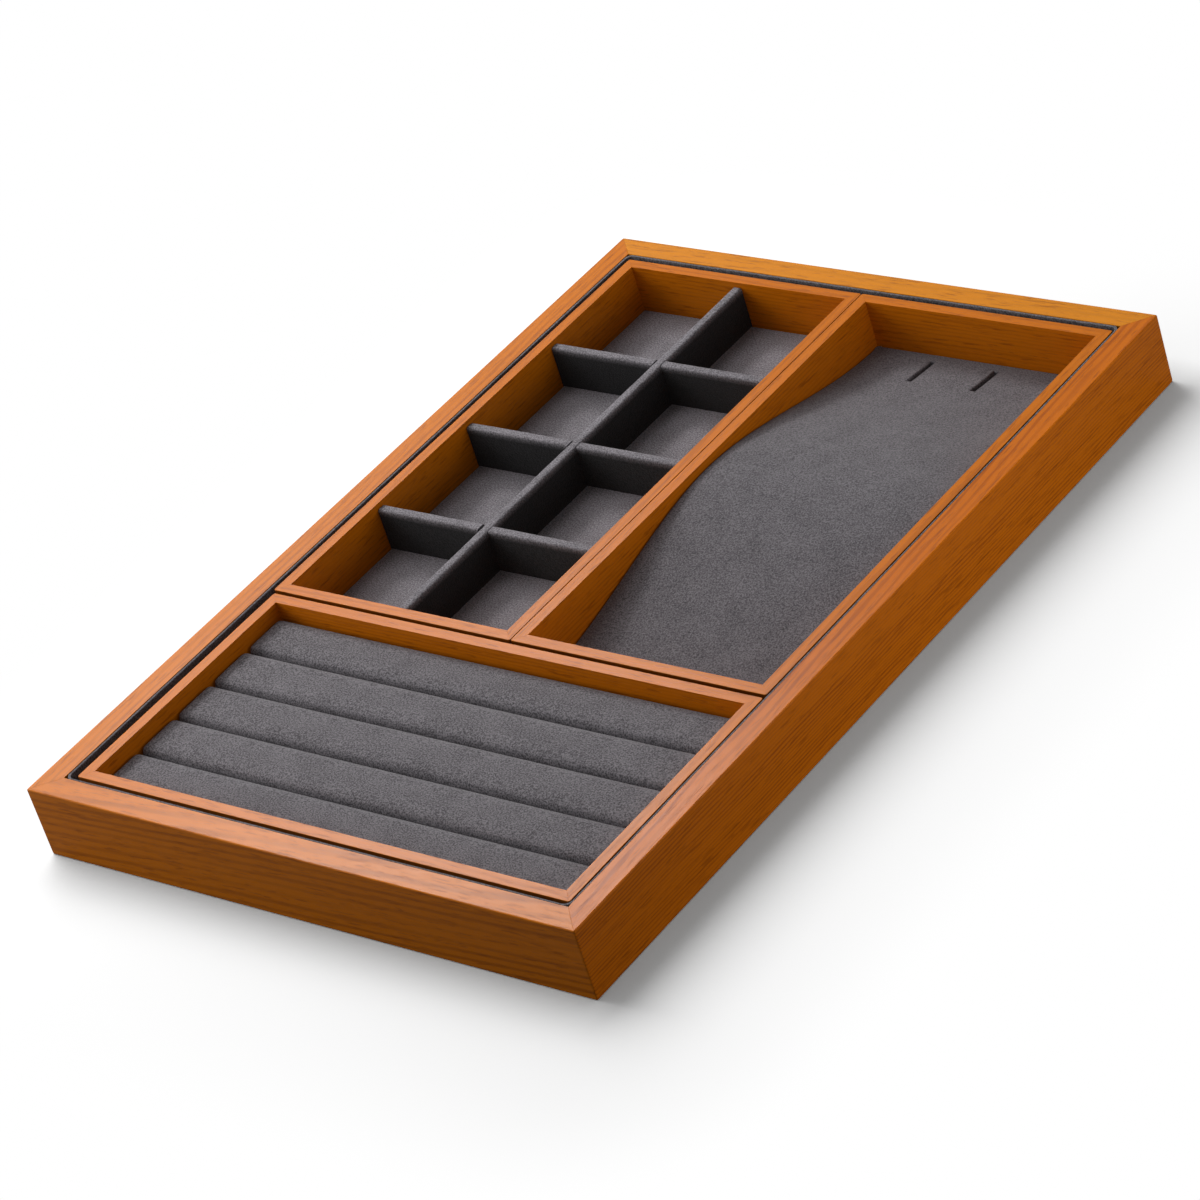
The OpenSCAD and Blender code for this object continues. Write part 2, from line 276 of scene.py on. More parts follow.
def wood_material(name, pale, ring, grey_bounce):
    """Stained wood under satin lacquer. The nearer the two colours, the plainer the figure. With a grey
    bounce, the light that the wood throws on the paper has no brown tint, as in a retouched picture."""
    material, tree, output = new_material(name)
    grain = add_node(tree, "ShaderNodeAttribute", {"attribute_name": "grain"})
    growth = add_node(tree, "ShaderNodeAttribute", {"attribute_name": "growth"})
    board_tone = add_node(tree, "ShaderNodeAttribute", {"attribute_name": "tone"})
    painted_gap_shade = add_node(tree, "ShaderNodeAttribute", {"attribute_name": "painted_gap_shade"})

    # Rings that sway a little along the board
    sway = add_node(tree, "ShaderNodeMapping", Vector=grain.outputs["Vector"],
                    Scale=pattern_scale(SWAY_LENGTH_MM, SWAY_MM))
    drift = add_node(tree, "ShaderNodeTexNoise", Vector=sway.outputs[0],
                     Scale=1.0, Detail=3.0, Roughness=0.5)
    centred = add_node(tree, "ShaderNodeVectorMath", {"operation": "SUBTRACT"},
                       in_0=drift.outputs["Color"], in_1=(0.5, 0.5, 0.5))
    moved = add_node(tree, "ShaderNodeVectorMath", {"operation": "MULTIPLY_ADD"}, in_0=centred.outputs[0],
                     in_1=(0, SWAY_BY_MM * MM, SWAY_BY_MM * MM), in_2=grain.outputs["Vector"])
    grown = add_node(tree, "ShaderNodeVectorMath", {"operation": "SCALE"}, in_0=moved.outputs[0],
                     Scale=growth.outputs["Fac"])
    rings = add_node(tree, "ShaderNodeTexWave",
                     {"wave_type": "RINGS", "rings_direction": "X", "wave_profile": "SIN"},
                     Vector=grown.outputs[0], Scale=WAVE_TURN / (RING_MM * MM))
    late = add_node(tree, "ShaderNodeMapRange", {"interpolation_type": "SMOOTHSTEP"},
                    Value=rings.outputs["Fac"], From_Min=0.35, To_Min=0.15)

    # Good and poor years make some rings darker than others
    years = add_node(tree, "ShaderNodeMapping", Vector=grain.outputs["Vector"],
                     Scale=pattern_scale(YEAR_LENGTH_MM, YEAR_MM))
    year = add_node(tree, "ShaderNodeTexNoise", Vector=years.outputs[0],
                    Scale=1.0, Detail=2.0, Roughness=0.6)
    uneven = add_node(tree, "ShaderNodeMapRange", {"interpolation_type": "SMOOTHSTEP"},
                      Value=year.outputs["Fac"], From_Min=0.34, From_Max=0.66, To_Min=0.35)
    ring_line = add_node(tree, "ShaderNodeMath", {"operation": "MULTIPLY"},
                         in_0=late.outputs["Result"], in_1=uneven.outputs["Result"])

    # Pores, which are dark, a little deeper and less glossy than the wood between them
    along = add_node(tree, "ShaderNodeMapping", Vector=grain.outputs["Vector"], Rotation=PORE_TURN,
                     Scale=pattern_scale(PORE_LENGTH_MM, PORE_MM))
    fibre = add_node(tree, "ShaderNodeTexNoise", Vector=along.outputs[0],
                     Scale=1.0, Detail=2.0, Roughness=0.6)
    pores = add_node(tree, "ShaderNodeMapRange", Value=fibre.outputs["Fac"],
                     From_Min=0.54, From_Max=0.68, To_Max=0.5)
    gloss = add_node(tree, "ShaderNodeMapRange", Value=fibre.outputs["Fac"], To_Min=SATIN, To_Max=SATIN_PORE)
    relief = add_node(tree, "ShaderNodeBump", {"invert": True}, Strength=0.2, Distance=PORE_DEPTH_MM * MM,
                      Height=pores.outputs["Result"])

    # Colours, put over each other in the order of ring, tone, pore and the painted shade in the gaps
    ringed = add_node(tree, "ShaderNodeMix", {"data_type": "RGBA"}, in_0=ring_line.outputs[0],
                      in_6=linear(pale), in_7=linear(ring))
    toned = add_node(tree, "ShaderNodeMix", {"data_type": "RGBA"}, in_0=board_tone.outputs["Fac"],
                     in_6=ringed.outputs[2], in_7=linear(WOOD_HONEY))
    pored = add_node(tree, "ShaderNodeMix", {"data_type": "RGBA"}, in_0=pores.outputs["Result"],
                     in_6=toned.outputs[2], in_7=linear(WOOD_PORE))
    # Painted shade: outer faces that look into the gaps between the trays go almost black
    colour = add_node(tree, "ShaderNodeMix", {"data_type": "RGBA"}, in_0=painted_gap_shade.outputs["Fac"],
                      in_6=pored.outputs[2], in_7=linear(WOOD_PAINTED_SHADE))
    if grey_bounce:
        path = add_node(tree, "ShaderNodeLightPath")
        colour = add_node(tree, "ShaderNodeMix", {"data_type": "RGBA"}, in_0=path.outputs["Is Diffuse Ray"],
                          in_6=colour.outputs[2], in_7=linear(WOOD_BOUNCE))
    shader = add_node(tree, "ShaderNodeBsdfPrincipled", Base_Color=colour.outputs[2],
                      Roughness=gloss.outputs["Result"], Normal=relief.outputs["Normal"],
                      Specular_IOR_Level=LACQUER_SPECULAR)
    tree.links.new(shader.outputs[0], output.inputs["Surface"])
    return material


# Ash stained and lacquered satin: dark ring lines under a soft, broad sheen, on the four outer rails
wood = wood_material("stained_ash_satin_lacquer", WOOD_PALE, WOOD_RING, grey_bounce=True)
# The same finish on thin plain-cut strips: an even orange brown with hardly any lines, on the inner trays
plain_wood = wood_material("stained_ash_plain_cut", PLAIN_PALE, PLAIN_RING, grey_bounce=False)
print("Made", wood.name, "and", plain_wood.name)

# %% [markdown]
# ## Microfibre suede
# All cloth is charcoal microfibre suede. Its nap is brushed this way and that, so fine light and dark specks
# lie over larger, softer patches, and it brightens where the surface turns away, as short fibres do. The
# patches come from hands stroking the cloth. Hair particles could make the nap, but thousands of fibres
# would be lost on export, so noise, bump and sheen stand in for them.

# %% Microfibre suede
# Single fibres are far too fine to show, so a speck is a whole tuft of them.
SPECK_MM, SPECK_DEPTH_MM = 0.58, 0.12
PATCH_MM = 11.0
# How near to black the cloth goes where its nap lies flatter and where shade is painted
MOST_FLAT_NAP_AND_SHADE = 0.94


def suede_material(name, dark, pale):
    """Napped cloth. Where the point attribute is 1, it goes almost black: partly flattened nap, partly painted
    shade.
    """
    material, tree, output = new_material(name)
    place = add_node(tree, "ShaderNodeTexCoord")
    specks = add_node(tree, "ShaderNodeTexNoise", Vector=place.outputs["Object"],
                      Scale=1 / (SPECK_MM * MM), Detail=2.0, Roughness=0.65)
    patches = add_node(tree, "ShaderNodeTexNoise", Vector=place.outputs["Object"],
                       Scale=1 / (PATCH_MM * MM), Detail=2.0, Roughness=0.5)
    sharper = add_node(tree, "ShaderNodeMapRange", Value=specks.outputs["Fac"], From_Min=0.36, From_Max=0.64)
    nap = add_node(tree, "ShaderNodeMath", {"operation": "MULTIPLY_ADD"},
                   in_0=patches.outputs["Fac"], in_1=0.5, in_2=-0.25)
    height = add_node(tree, "ShaderNodeMath", {"operation": "ADD", "use_clamp": True},
                      in_0=sharper.outputs["Result"], in_1=nap.outputs[0])
    tone = add_node(tree, "ShaderNodeMix", {"data_type": "RGBA"}, in_0=height.outputs[0],
                    in_6=linear(dark), in_7=linear(pale))
    # Flattened nap, and painted shade on faces that stand in shade, darken the cloth towards black
    nap_flat_and_shade = add_node(tree, "ShaderNodeAttribute", {"attribute_name": "nap_flat_and_shade"})
    darkening_share = add_node(tree, "ShaderNodeMath", {"operation": "MULTIPLY"},
                    in_0=nap_flat_and_shade.outputs["Fac"], in_1=MOST_FLAT_NAP_AND_SHADE)
    cloth_with_shade = add_node(tree, "ShaderNodeMix", {"data_type": "RGBA"}, in_0=darkening_share.outputs[0],
                    in_6=tone.outputs[2], in_7=(0, 0, 0, 1))
    relief = add_node(tree, "ShaderNodeBump", Strength=0.5, Distance=SPECK_DEPTH_MM * MM,
                      Height=sharper.outputs["Result"])
    shader = add_node(tree, "ShaderNodeBsdfPrincipled", Base_Color=cloth_with_shade.outputs[2], Roughness=0.95,
                      Normal=relief.outputs["Normal"], Specular_IOR_Level=0.1,
                      Sheen_Weight=0.2, Sheen_Roughness=0.45)
    tree.links.new(shader.outputs[0], output.inputs["Surface"])
    return material


# As it comes off the bolt: clear specks, on the rolls and the linings
suede = suede_material("microfibre_suede_charcoal", "#403D40", "#7C787C")
# Pulled tight over foam: the nap lies flatter, so the specks are fainter, on the pad
stretched_suede = suede_material("microfibre_suede_stretched", "#413E41", "#736F73")
# Brushed up: the raised nap catches more light, on the compartment floor and dividers
brushed_suede = suede_material("microfibre_suede_brushed", "#504D50", "#8F8A8F")
# Pressed felt: almost black and even, under the tray
felt_cloth = suede_material("pressed_felt_black", "#232124", "#39363A")
print("Made", [cloth.name for cloth in (suede, stretched_suede, brushed_suede, felt_cloth)])

# %% [markdown]
# ## Tools for shaping by hand
# In edit mode an operator acts on what is selected. These helpers stand in for the mouse: they clear the
# selection and then pick faces or edges by where they are, in millimetres, or by where they face.

# %% Tools for shaping by hand
# How near a point has to be to count as on a plane, before and after rounding, in mm
NEAR, CLOSE = 0.01, 0.05
# The least part of a normal along an axis for a face that looks along it
SQUARE_ON = 0.9


def deselect():
    """Leaves edit mode and selects nothing."""
    if bpy.context.mode != "OBJECT":
        bpy.ops.object.mode_set(mode="OBJECT")
    bpy.ops.object.select_all(action="DESELECT")


def pick_faces(test):
    """In edit mode, selects the faces whose middle in mm and normal pass the test."""
    bpy.ops.mesh.select_mode(type="FACE")
    bpy.ops.mesh.select_all(action="DESELECT")
    shape = bmesh.from_edit_mesh(bpy.context.object.data)
    for face in shape.faces:
        face.select_set(bool(test(face.calc_center_median() / MM, face.normal)))
    bmesh.update_edit_mesh(bpy.context.object.data)


def pick_edges(test):
    """In edit mode, selects the edges whose two ends in mm pass the test."""
    bpy.ops.mesh.select_mode(type="EDGE")
    bpy.ops.mesh.select_all(action="DESELECT")
    shape = bmesh.from_edit_mesh(bpy.context.object.data)
    for edge in shape.edges:
        edge.select_set(bool(test(edge.verts[0].co / MM, edge.verts[1].co / MM)))
    bmesh.update_edit_mesh(bpy.context.object.data)


def cut(at, facing, clear=False):
    """In edit mode, cuts everything with a plane, in mm, and can clear and cap what lies beyond it."""
    bpy.ops.mesh.select_all(action="SELECT")
    bpy.ops.mesh.bisect(plane_co=Vector(at) * MM, plane_no=facing, use_fill=clear, clear_outer=clear)


def apply_modifier(piece, kind, **settings):
    """Adds a modifier with its settings and applies it at once."""
    bpy.context.view_layer.objects.active = piece
    modifier = piece.modifiers.new(kind.title(), kind)
    for name, value in settings.items():
        setattr(modifier, name, value)
    bpy.ops.object.modifier_apply(modifier=modifier.name)


def paint(piece, name, value_at):
    """Gives each point of a piece a value, from its place in mm, that a material can read by name."""
    values = piece.data.attributes.new(name, "FLOAT", "POINT")
    for point, item in zip(piece.data.vertices, values.data):
        item.value = value_at(point.co / MM)


def smooth(piece, degrees):
    """Shades a piece smooth, apart from edges that turn by more than the angle."""
    deselect()
    piece.select_set(True)
    bpy.ops.object.shade_smooth_by_angle(angle=math.radians(degrees))


def finish_piece(piece, name, body, slot, material, *nodes):
    """Names a piece, gives it its finish and lets it ride on a body in place of its CAD nodes."""
    deselect()
    piece.name = name
    piece.data.name = name
    piece.data.materials.clear()
    piece.data.materials.append(material)
    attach(piece, body)
    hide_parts(*nodes)


def box_mm(*nodes):
    """Lowest and highest corner round CAD nodes, in mm."""
    corners = [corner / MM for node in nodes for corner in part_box(node)]
    low = Vector([min(c[i] for c in corners) for i in range(3)])
    high = Vector([max(c[i] for c in corners) for i in range(3)])
    return low, high


# %% [markdown]
# ## Mitred rails
# Every frame is four rails of solid wood, cut at 45 degrees and glued at the corners. A maker planes a long
# strip with a step, the rebate, along its lower inside edge for the base, saws the mitres, and breaks the
# edges with sandpaper. A ring of boxes joined into one would be quicker, but the joints and the turn of the
# grain at each corner would be lost. So the maker's steps are followed: an upright plane is the strip's end,
# its corner is cut away, it is drawn out to length, cut at both ends, and its edges are rounded. A hair-fine
# bevel along the level edges of the mitre leaves the joint visible. The upright corner is sanded flush.

# %% Saw one rail
SIDES = ["front", "right", "back", "left"]
MITRE_NEAR = 0.02


def end_planes(length, depth, corner):
    """The cuts at both ends of a front rail, as (point, outward normal): the mitre and the round corner."""
    planes = []
    for end in (-1, 1):
        planes.append(((end * length / 2, -depth / 2, 0), (end, 1, 0)))
        for angle in (11.25, 33.75):
            across, out = math.sin(math.radians(angle)), math.cos(math.radians(angle))
            middle = Vector((end * (length / 2 - corner), corner - depth / 2, 0))
            facing = Vector((end * across, -out, 0))
            planes.append((middle + corner * facing, facing))
    return planes


def saw_rail(low, high, side, t, rebate, rebate_top, corner, arris, seam):
    """One rail of the frame between two corners, in mm, made at the front with the frame's middle at 0 and
    not yet turned to its side. Returns it with the place of its outer face."""
    size = high - low
    length, depth = (size.y, size.x) if side in ("right", "left") else (size.x, size.y)
    front = -depth / 2
    deselect()
    bpy.ops.mesh.primitive_plane_add(size=1)
    rail = bpy.context.object
    rail.scale = (size.z * MM, t * MM, 1)
    rail.rotation_euler = (0, math.pi / 2, 0)
    rail.location = Vector((-length / 2, front + t / 2, (low.z + high.z) / 2)) * MM
    bpy.ops.object.transform_apply()
    bpy.ops.object.mode_set(mode="EDIT")
    cut((0, front + t - rebate, 0), (0, 1, 0))
    cut((0, 0, rebate_top), (0, 0, 1))
    pick_faces(lambda at, facing: at.y > front + t - rebate and at.z < rebate_top)
    bpy.ops.mesh.delete(type="FACE")
    bpy.ops.mesh.select_all(action="SELECT")
    bpy.ops.mesh.dissolve_limited(angle_limit=math.radians(1))
    bpy.ops.mesh.select_all(action="SELECT")
    bpy.ops.mesh.extrude_region_move(TRANSFORM_OT_translate={"value": (length * MM, 0, 0)})
    bpy.ops.mesh.select_all(action="SELECT")
    bpy.ops.mesh.normals_make_consistent(inside=False)
    for at, facing in end_planes(length, depth, corner):
        cut(at, facing, clear=True)

    def at_height(a, b, height):
        return abs(a.z - height) < NEAR and abs(b.z - height) < NEAR

    def on_mitre(*points):
        return all(abs(length / 2 - abs(p.x) - (p.y + depth / 2)) < MITRE_NEAR for p in points)

    def worn_edge(a, b):
        outer_foot = at_height(a, b, low.z) and a.y < front + t - rebate - NEAR
        return not on_mitre(a, b) and (at_height(a, b, high.z) or outer_foot)

    pick_edges(worn_edge)
    bpy.ops.mesh.bevel(offset=arris * MM, segments=3, affect="EDGES")
    pick_edges(lambda a, b: on_mitre(a, b) and abs(a.z - b.z) < arris)
    bpy.ops.mesh.bevel(offset=seam * MM, segments=1, affect="EDGES")
    bpy.ops.object.mode_set(mode="OBJECT")
    return rail, front


print("Cuts at the ends of a rail:", len(end_planes(1, 1, 0)))

# %% [markdown]
# Each rail comes from its own board. A seeded draw sets where the board's pith lay and how far the grain
# leans off the rail's length. The front rail is cut so that its lines run out, with wide growth rings, the
# right one has narrow ones, and the back one is the most yellow. The values are kept on the points of the
# mesh, so they turn with the rail when it is put in its place.

# %% Lay the grain in a rail
board = random.Random(11)
PITH_ALONG, PITH_ASIDE, PITH_ABOVE = (-40, 40), (32, 45), (45, 58)
LEAN = (-0.01, 0.01)
LEANING = {"front_rail": -0.05}
TONES = {"back_rail": 0.55, "left_rail": 0.15, "front_rail": 0.15}
GROWTH = {"front_rail": 0.5, "right_rail": 1.3}


def lay_grain(rail, node, front):
    """Gives a rail its place in its board, its tone and the width of its rings."""
    pith = Vector((board.uniform(*PITH_ALONG), board.choice((-1, 1)) * board.uniform(*PITH_ASIDE),
                   board.uniform(*PITH_ABOVE)))
    lean = Vector((board.uniform(*LEAN), LEANING.get(node, board.uniform(*LEAN))))
    grain = rail.data.attributes.new("grain", "FLOAT_VECTOR", "POINT")
    for point, item in zip(rail.data.vertices, grain.data):
        x, y, z = point.co
        item.vector = Vector((x, y - front * MM + lean.x * x, z + lean.y * x)) + pith * MM
    paint(rail, "tone", lambda at: TONES.get(node, 0.0))
    paint(rail, "growth", lambda at: GROWTH.get(node, 1.0))


print("Rails with a tone or ring width of their own:", sorted(set(TONES) | set(GROWTH)))

# %% [markdown]
# The outer frame has thick rails with well-rounded edges. The three inner frames are thin and crisp, and
# their outer faces, which look into the narrow gaps between the trays, get painted shade, almost black.

# %% Four frames
# The last value is how much painted shade the outer faces in the gaps get: none on the outer frame
OUTER_CUTS = {"rebate": 4, "rebate_h": 4, "corner": 0.7, "arris": 0.5, "seam": 0.05, "shade_in_gaps": 0}
INNER_CUTS = {"rebate": 2, "rebate_h": 2.5, "corner": 0.8, "arris": 0.2, "seam": 0.03, "shade_in_gaps": 0.7}


def mitred_frame(prefix, body, finish, rebate, rebate_h, corner, arris, seam, shade_in_gaps):
    """The four rails of one frame, each turned to its side and finished."""
    nodes = [prefix + side + "_rail" for side in SIDES]
    low, high = box_mm(*nodes)
    middle = (low + high) / 2
    front_low, front_high = box_mm(nodes[0])
    t = front_high.y - front_low.y
    for turns, (side, node) in enumerate(zip(SIDES, nodes)):
        rail, front = saw_rail(low, high, side, t, rebate, low.z + rebate_h, corner, arris, seam)
        lay_grain(rail, node, front)
        # Painted shade on the outer face below its rounded edge, where it looks into a gap
        paint(rail, "painted_gap_shade",
              lambda at: shade_in_gaps if at.y < front + corner / 2 and at.z < high.z - arris / 2 else 0)
        rail.rotation_euler = (0, 0, turns * math.pi / 2)
        rail.location = Vector((middle.x, middle.y, 0)) * MM
        bpy.ops.object.transform_apply()
        smooth(rail, 40)
        apply_modifier(rail, "WEIGHTED_NORMAL", keep_sharp=True)
        finish_piece(rail, node + "_wood", body, "stained_wood", finish, node)
    print("Frame", prefix or "outer", [round(v, 1) for v in high - low], "rails", round(t, 2), "mm thick")


mitred_frame("", "outer_tray", wood, **OUTER_CUTS)
for prefix in ("grid_", "necklace_", "ring_"):
    mitred_frame(prefix, prefix + "tray", plain_wood, **INNER_CUTS)

# %% [markdown]
# ## Lining strip
# A strip of the same suede is glued round the inside of the outer frame, almost flush with its rim. It can't
# follow the sharp inside of a mitre, so its corners are round, and at the front and at the right it has come
# a little off the rail. A curve with a bevel could draw it, but a strip has square edges. So it starts as a
# plane of the well's size with round corners, is drawn up to a wall, loses its lids, and gets its thickness
# from Solidify. A slight waviness keeps it from looking machined. Below its top edge it gets painted shade,
# almost black, for the shade of the gap it stands in, and its pale top edge gets a little painted shade that
# differs by side.

# %% Lining strip
STRIP_T, STRIP_R, STRIP_EDGE = 1.0, 3.2, 0.3
STRIP_CUTS, STRIP_WAVE = 40, 0.25
STRIP_LOOSE = {"front": 0.45, "right": 0.65}
# Painted shade on the strip's top edge, by side: none at the right, most at the back
STRIP_TOP_SHADE = {"front": 0.05, "right": 0.0, "back": 0.1, "left": 0.05}
NAP_EDGE = 0.3
wave_texture = bpy.data.textures.new("hand_laid_cloth", "CLOUDS")
wave_texture.noise_scale = 14 * MM


def runs_along(a, b, axis, least=0):
    """Whether an edge runs along an axis and is longer than the least, in mm."""
    step = [abs(v) for v in a - b]
    return step[axis] > least and step[axis] > 0.99 * (a - b).length


def soften(piece, strength):
    """Moves the surface in and out by a fraction of a millimetre, as glued cloth does."""
    apply_modifier(piece, "DISPLACE", texture=wave_texture, texture_coords="LOCAL",
                   strength=strength * MM, mid_level=0.5)


def flat_sheet(low, high, z, corner, facing=1):
    """A plane of the sheet's cut size with round corners, in edit mode."""
    deselect()
    bpy.ops.mesh.primitive_plane_add(size=1)
    sheet = bpy.context.object
    sheet.scale = ((high.x - low.x) * MM, (high.y - low.y) * MM, 1)
    sheet.location = Vector(((low.x + high.x) / 2, (low.y + high.y) / 2, z)) * MM
    sheet.rotation_euler = (0 if facing > 0 else math.pi, 0, 0)
    bpy.ops.object.transform_apply()
    bpy.ops.object.mode_set(mode="EDIT")
    bpy.ops.mesh.select_all(action="SELECT")
    if corner:
        bpy.ops.mesh.bevel(offset=corner * MM, segments=5, affect="VERTICES")
    return sheet


low, high = box_mm("wall_lining")
strip = flat_sheet(low, high, low.z, STRIP_R)
bpy.ops.mesh.select_all(action="SELECT")
bpy.ops.mesh.extrude_region_move(TRANSFORM_OT_translate={"value": (0, 0, (high.z - low.z) * MM)})
pick_faces(lambda at, facing: abs(facing.z) > SQUARE_ON)
bpy.ops.mesh.delete(type="FACE")
bpy.ops.mesh.select_all(action="SELECT")
bpy.ops.mesh.normals_make_consistent(inside=False)
pick_edges(lambda a, b: abs(a.z - b.z) < NEAR and (a - b).length > 20)
bpy.ops.mesh.subdivide(number_cuts=STRIP_CUTS)
deselect()
apply_modifier(strip, "SOLIDIFY", thickness=STRIP_T * MM, offset=-1, use_even_offset=True)
bpy.ops.object.mode_set(mode="EDIT")
pick_edges(lambda a, b: min(a.z, b.z) > high.z - NEAR and (runs_along(a, b, 0) or runs_along(a, b, 1))
           and (a - b).length > STRIP_T + CLOSE)
bpy.ops.mesh.bevel(offset=STRIP_EDGE * MM, segments=2, affect="EDGES")
pick_faces(lambda at, facing: facing.x > SQUARE_ON
           and at.x > high.x - CLOSE and abs(at.y) < high.y - STRIP_R)
bpy.ops.transform.translate(value=(-STRIP_LOOSE["right"] * MM, 0, 0))
pick_faces(lambda at, facing: facing.y < -SQUARE_ON
           and at.y < low.y + CLOSE and abs(at.x) < high.x - STRIP_R)
bpy.ops.transform.translate(value=(0, STRIP_LOOSE["front"] * MM, 0))
deselect()
soften(strip, STRIP_WAVE)
smooth(strip, 40)


def strip_painted_shade(at):
    """Painted shade on the strip: near black below its top edge, in the shaded gap, and a little on the top
    edge, by side.
    """
    gaps = {"front": at.y - low.y, "right": high.x - at.x, "back": high.y - at.y, "left": at.x - low.x}
    nearest = min(gaps, key=gaps.get)
    return max(STRIP_TOP_SHADE[nearest], min(1, (high.z - at.z) / STRIP_T - NAP_EDGE))


# Painted shade on the strip: near black below its top edge
paint(strip, "nap_flat_and_shade", strip_painted_shade)
finish_piece(strip, "wall_lining_strip", "outer_tray", "suede", suede, "wall_lining")
print("Strip", round(high.z - low.z, 1), "mm high with", len(strip.data.polygons), "faces")

# %% [markdown]
# ## Base card and underside felt
# A card wrapped in suede lies on the base panel, under the three trays, and felt covers the underside, so
# that the tray doesn't scratch. Both are flat sheets: a plane of the cut size, Solidify for the thickness and
# a small bevel for the folded edge. A box would do as well, but a sheet is cut to size before it is laid.

# %% Base card and underside felt
CARD_R, CARD_EDGE, FELT_EDGE = 2.5, 0.3, 0.2

low, high = box_mm("base_lining")
card = flat_sheet(low, high, high.z, CARD_R)
deselect()
apply_modifier(card, "SOLIDIFY", thickness=(high.z - low.z) * MM, offset=-1)
apply_modifier(card, "BEVEL", width=CARD_EDGE * MM, segments=2, limit_method="ANGLE")
finish_piece(card, "base_lining_card", "outer_tray", "suede", suede, "base_lining")

low, high = box_mm("underside_cloth")
felt = flat_sheet(low, high, low.z, 0, facing=-1)
deselect()
apply_modifier(felt, "SOLIDIFY", thickness=(high.z - low.z) * MM, offset=-1)
apply_modifier(felt, "BEVEL", width=FELT_EDGE * MM, segments=2, limit_method="ANGLE")
finish_piece(felt, "underside_felt", "outer_tray", "underside_cloth", felt_cloth, "underside_cloth")
print("Sheets:", strip.name, card.name, felt.name)

# %% [markdown]
# ## Compartment floor
# The floor of the compartment tray is a card wrapped in suede, so its edges are soft and it isn't quite
# flat. A box is cut into short lengths, its top edges are rounded, and a slow wave moves its surface. The
# lengths give the wave points to move.

# %% Compartment floor
FLOOR_EDGE, FLOOR_CUTS, FLOOR_WAVE = 0.8, 30, 0.2
LONG_EDGE = 60


def block(low, high):
    """A box between two corners, in mm, with its place in its mesh."""
    deselect()
    bpy.ops.mesh.primitive_cube_add(size=1, location=(low + high) / 2 * MM)
    box = bpy.context.object
    box.scale = (high - low) * MM
    bpy.ops.object.transform_apply()
    return box


def wrapped_board(low, high, edge, cuts, levels=(), ends=True):
    """A board with its long edges in short lengths, level cuts below its top and its top edges rounded, with
    or without those of its two ends."""
    wrapped = block(low, high)
    long_axis = 0 if high.x - low.x > high.y - low.y else 1
    bpy.ops.object.mode_set(mode="EDIT")
    for level in levels:
        cut((0, 0, high.z - level), (0, 0, 1))
    pick_edges(lambda a, b: (a - b).length > LONG_EDGE)
    bpy.ops.mesh.subdivide(number_cuts=cuts)

    def on_side(p):
        return min(p.x - low.x, high.x - p.x, p.y - low.y, high.y - p.y) < NEAR

    def top_border(a, b):
        rounded = ends or runs_along(a, b, long_axis)
        outside = on_side(a) and on_side(b) and on_side((a + b) / 2)
        return rounded and outside and min(a.z, b.z) > high.z - NEAR

    pick_edges(top_border)
    bpy.ops.mesh.bevel(offset=edge * MM, segments=4, affect="EDGES")
    deselect()
    return wrapped


low, high = box_mm("grid_floor_pad")
floor_pad = wrapped_board(low, high, FLOOR_EDGE, FLOOR_CUTS)
soften(floor_pad, FLOOR_WAVE)
smooth(floor_pad, 40)
finish_piece(floor_pad, "compartment_floor", "grid_tray", "suede", brushed_suede, "grid_floor_pad")
print("Floor of", [round(v, 1) for v in high - low], "mm")

# %% [markdown]
# ## Dividers
# The dividers are thin boards wrapped in the same suede, with soft top edges. The long one is slotted from
# below and the three short ones from above, and they slide into each other. A second box cuts each slot. The
# faces go almost black, partly for nap that lies flatter and partly as painted shade on these upright faces,
# and towards the top edge the nap stands up, the darkening fades and they turn pale. The level cuts below the
# top are there for that change, because a value on points needs points to change at.

# %% Dividers
DIVIDER_EDGE, DIVIDER_CUTS, DIVIDER_WAVE = 1.0, 36, 0.22
# How the darkening, flattened nap and painted shade, fades out towards the top edge
FADE_MM, FADE_POWER = 2.6, 0.6
LAP, LOOSE_LAP = 0.15, 0.8
PAST = 5
dividers = ["long_divider", "cross_divider_front", "cross_divider_middle", "cross_divider_back"]


def cut_slot(piece, low, high):
    """Cuts a box out of a piece."""
    cutter = block(low, high)
    deselect()
    piece.select_set(True)
    apply_modifier(piece, "BOOLEAN", operation="DIFFERENCE", object=cutter, solver="EXACT")
    bpy.data.objects.remove(cutter)


long_low, long_high = box_mm("long_divider")
half_height = (long_low.z + long_high.z) / 2
for node in dividers:
    low, high = box_mm(node)
    divider = wrapped_board(low, high, DIVIDER_EDGE, DIVIDER_CUTS, levels=(1.5, 2.0, FADE_MM), ends=False)
    if node == "long_divider":
        for cross in dividers[1:]:
            cross_low, cross_high = box_mm(cross)
            cut_slot(divider, Vector((low.x - PAST, cross_low.y - LAP, low.z - PAST)),
                     Vector((high.x + PAST, cross_high.y + LAP, half_height + LAP)))
    else:
        slack = LOOSE_LAP if node == "cross_divider_front" else LAP
        cut_slot(divider, Vector((long_low.x - slack, low.y - PAST, half_height)),
                 Vector((long_high.x + LAP, high.y + PAST, high.z + PAST)))
    soften(divider, DIVIDER_WAVE)
    # Faces darkened for flattened nap and painted shade, fading out towards the top edge
    paint(divider, "nap_flat_and_shade", lambda at: min(1, max(0, high.z - at.z) / FADE_MM) ** FADE_POWER)
    smooth(divider, 40)
    finish_piece(divider, node + "_wrapped", "divider_lattice", "suede", brushed_suede, node)
print("Dividers:", len(dividers))

# %% [markdown]
# ## Swelling under pressure
# Foam under a tight cover bulges a little between the places where the cover is glued. A few lifted points
# would look too regular, so Blender's cloth simulation blows the piece up under pressure, and the result is
# applied. The cloth solver is made for things of human size, so the piece is ten times as large meanwhile.

# %% Swelling under pressure
SIM_SCALE, SIM_STEPS = 10, 20


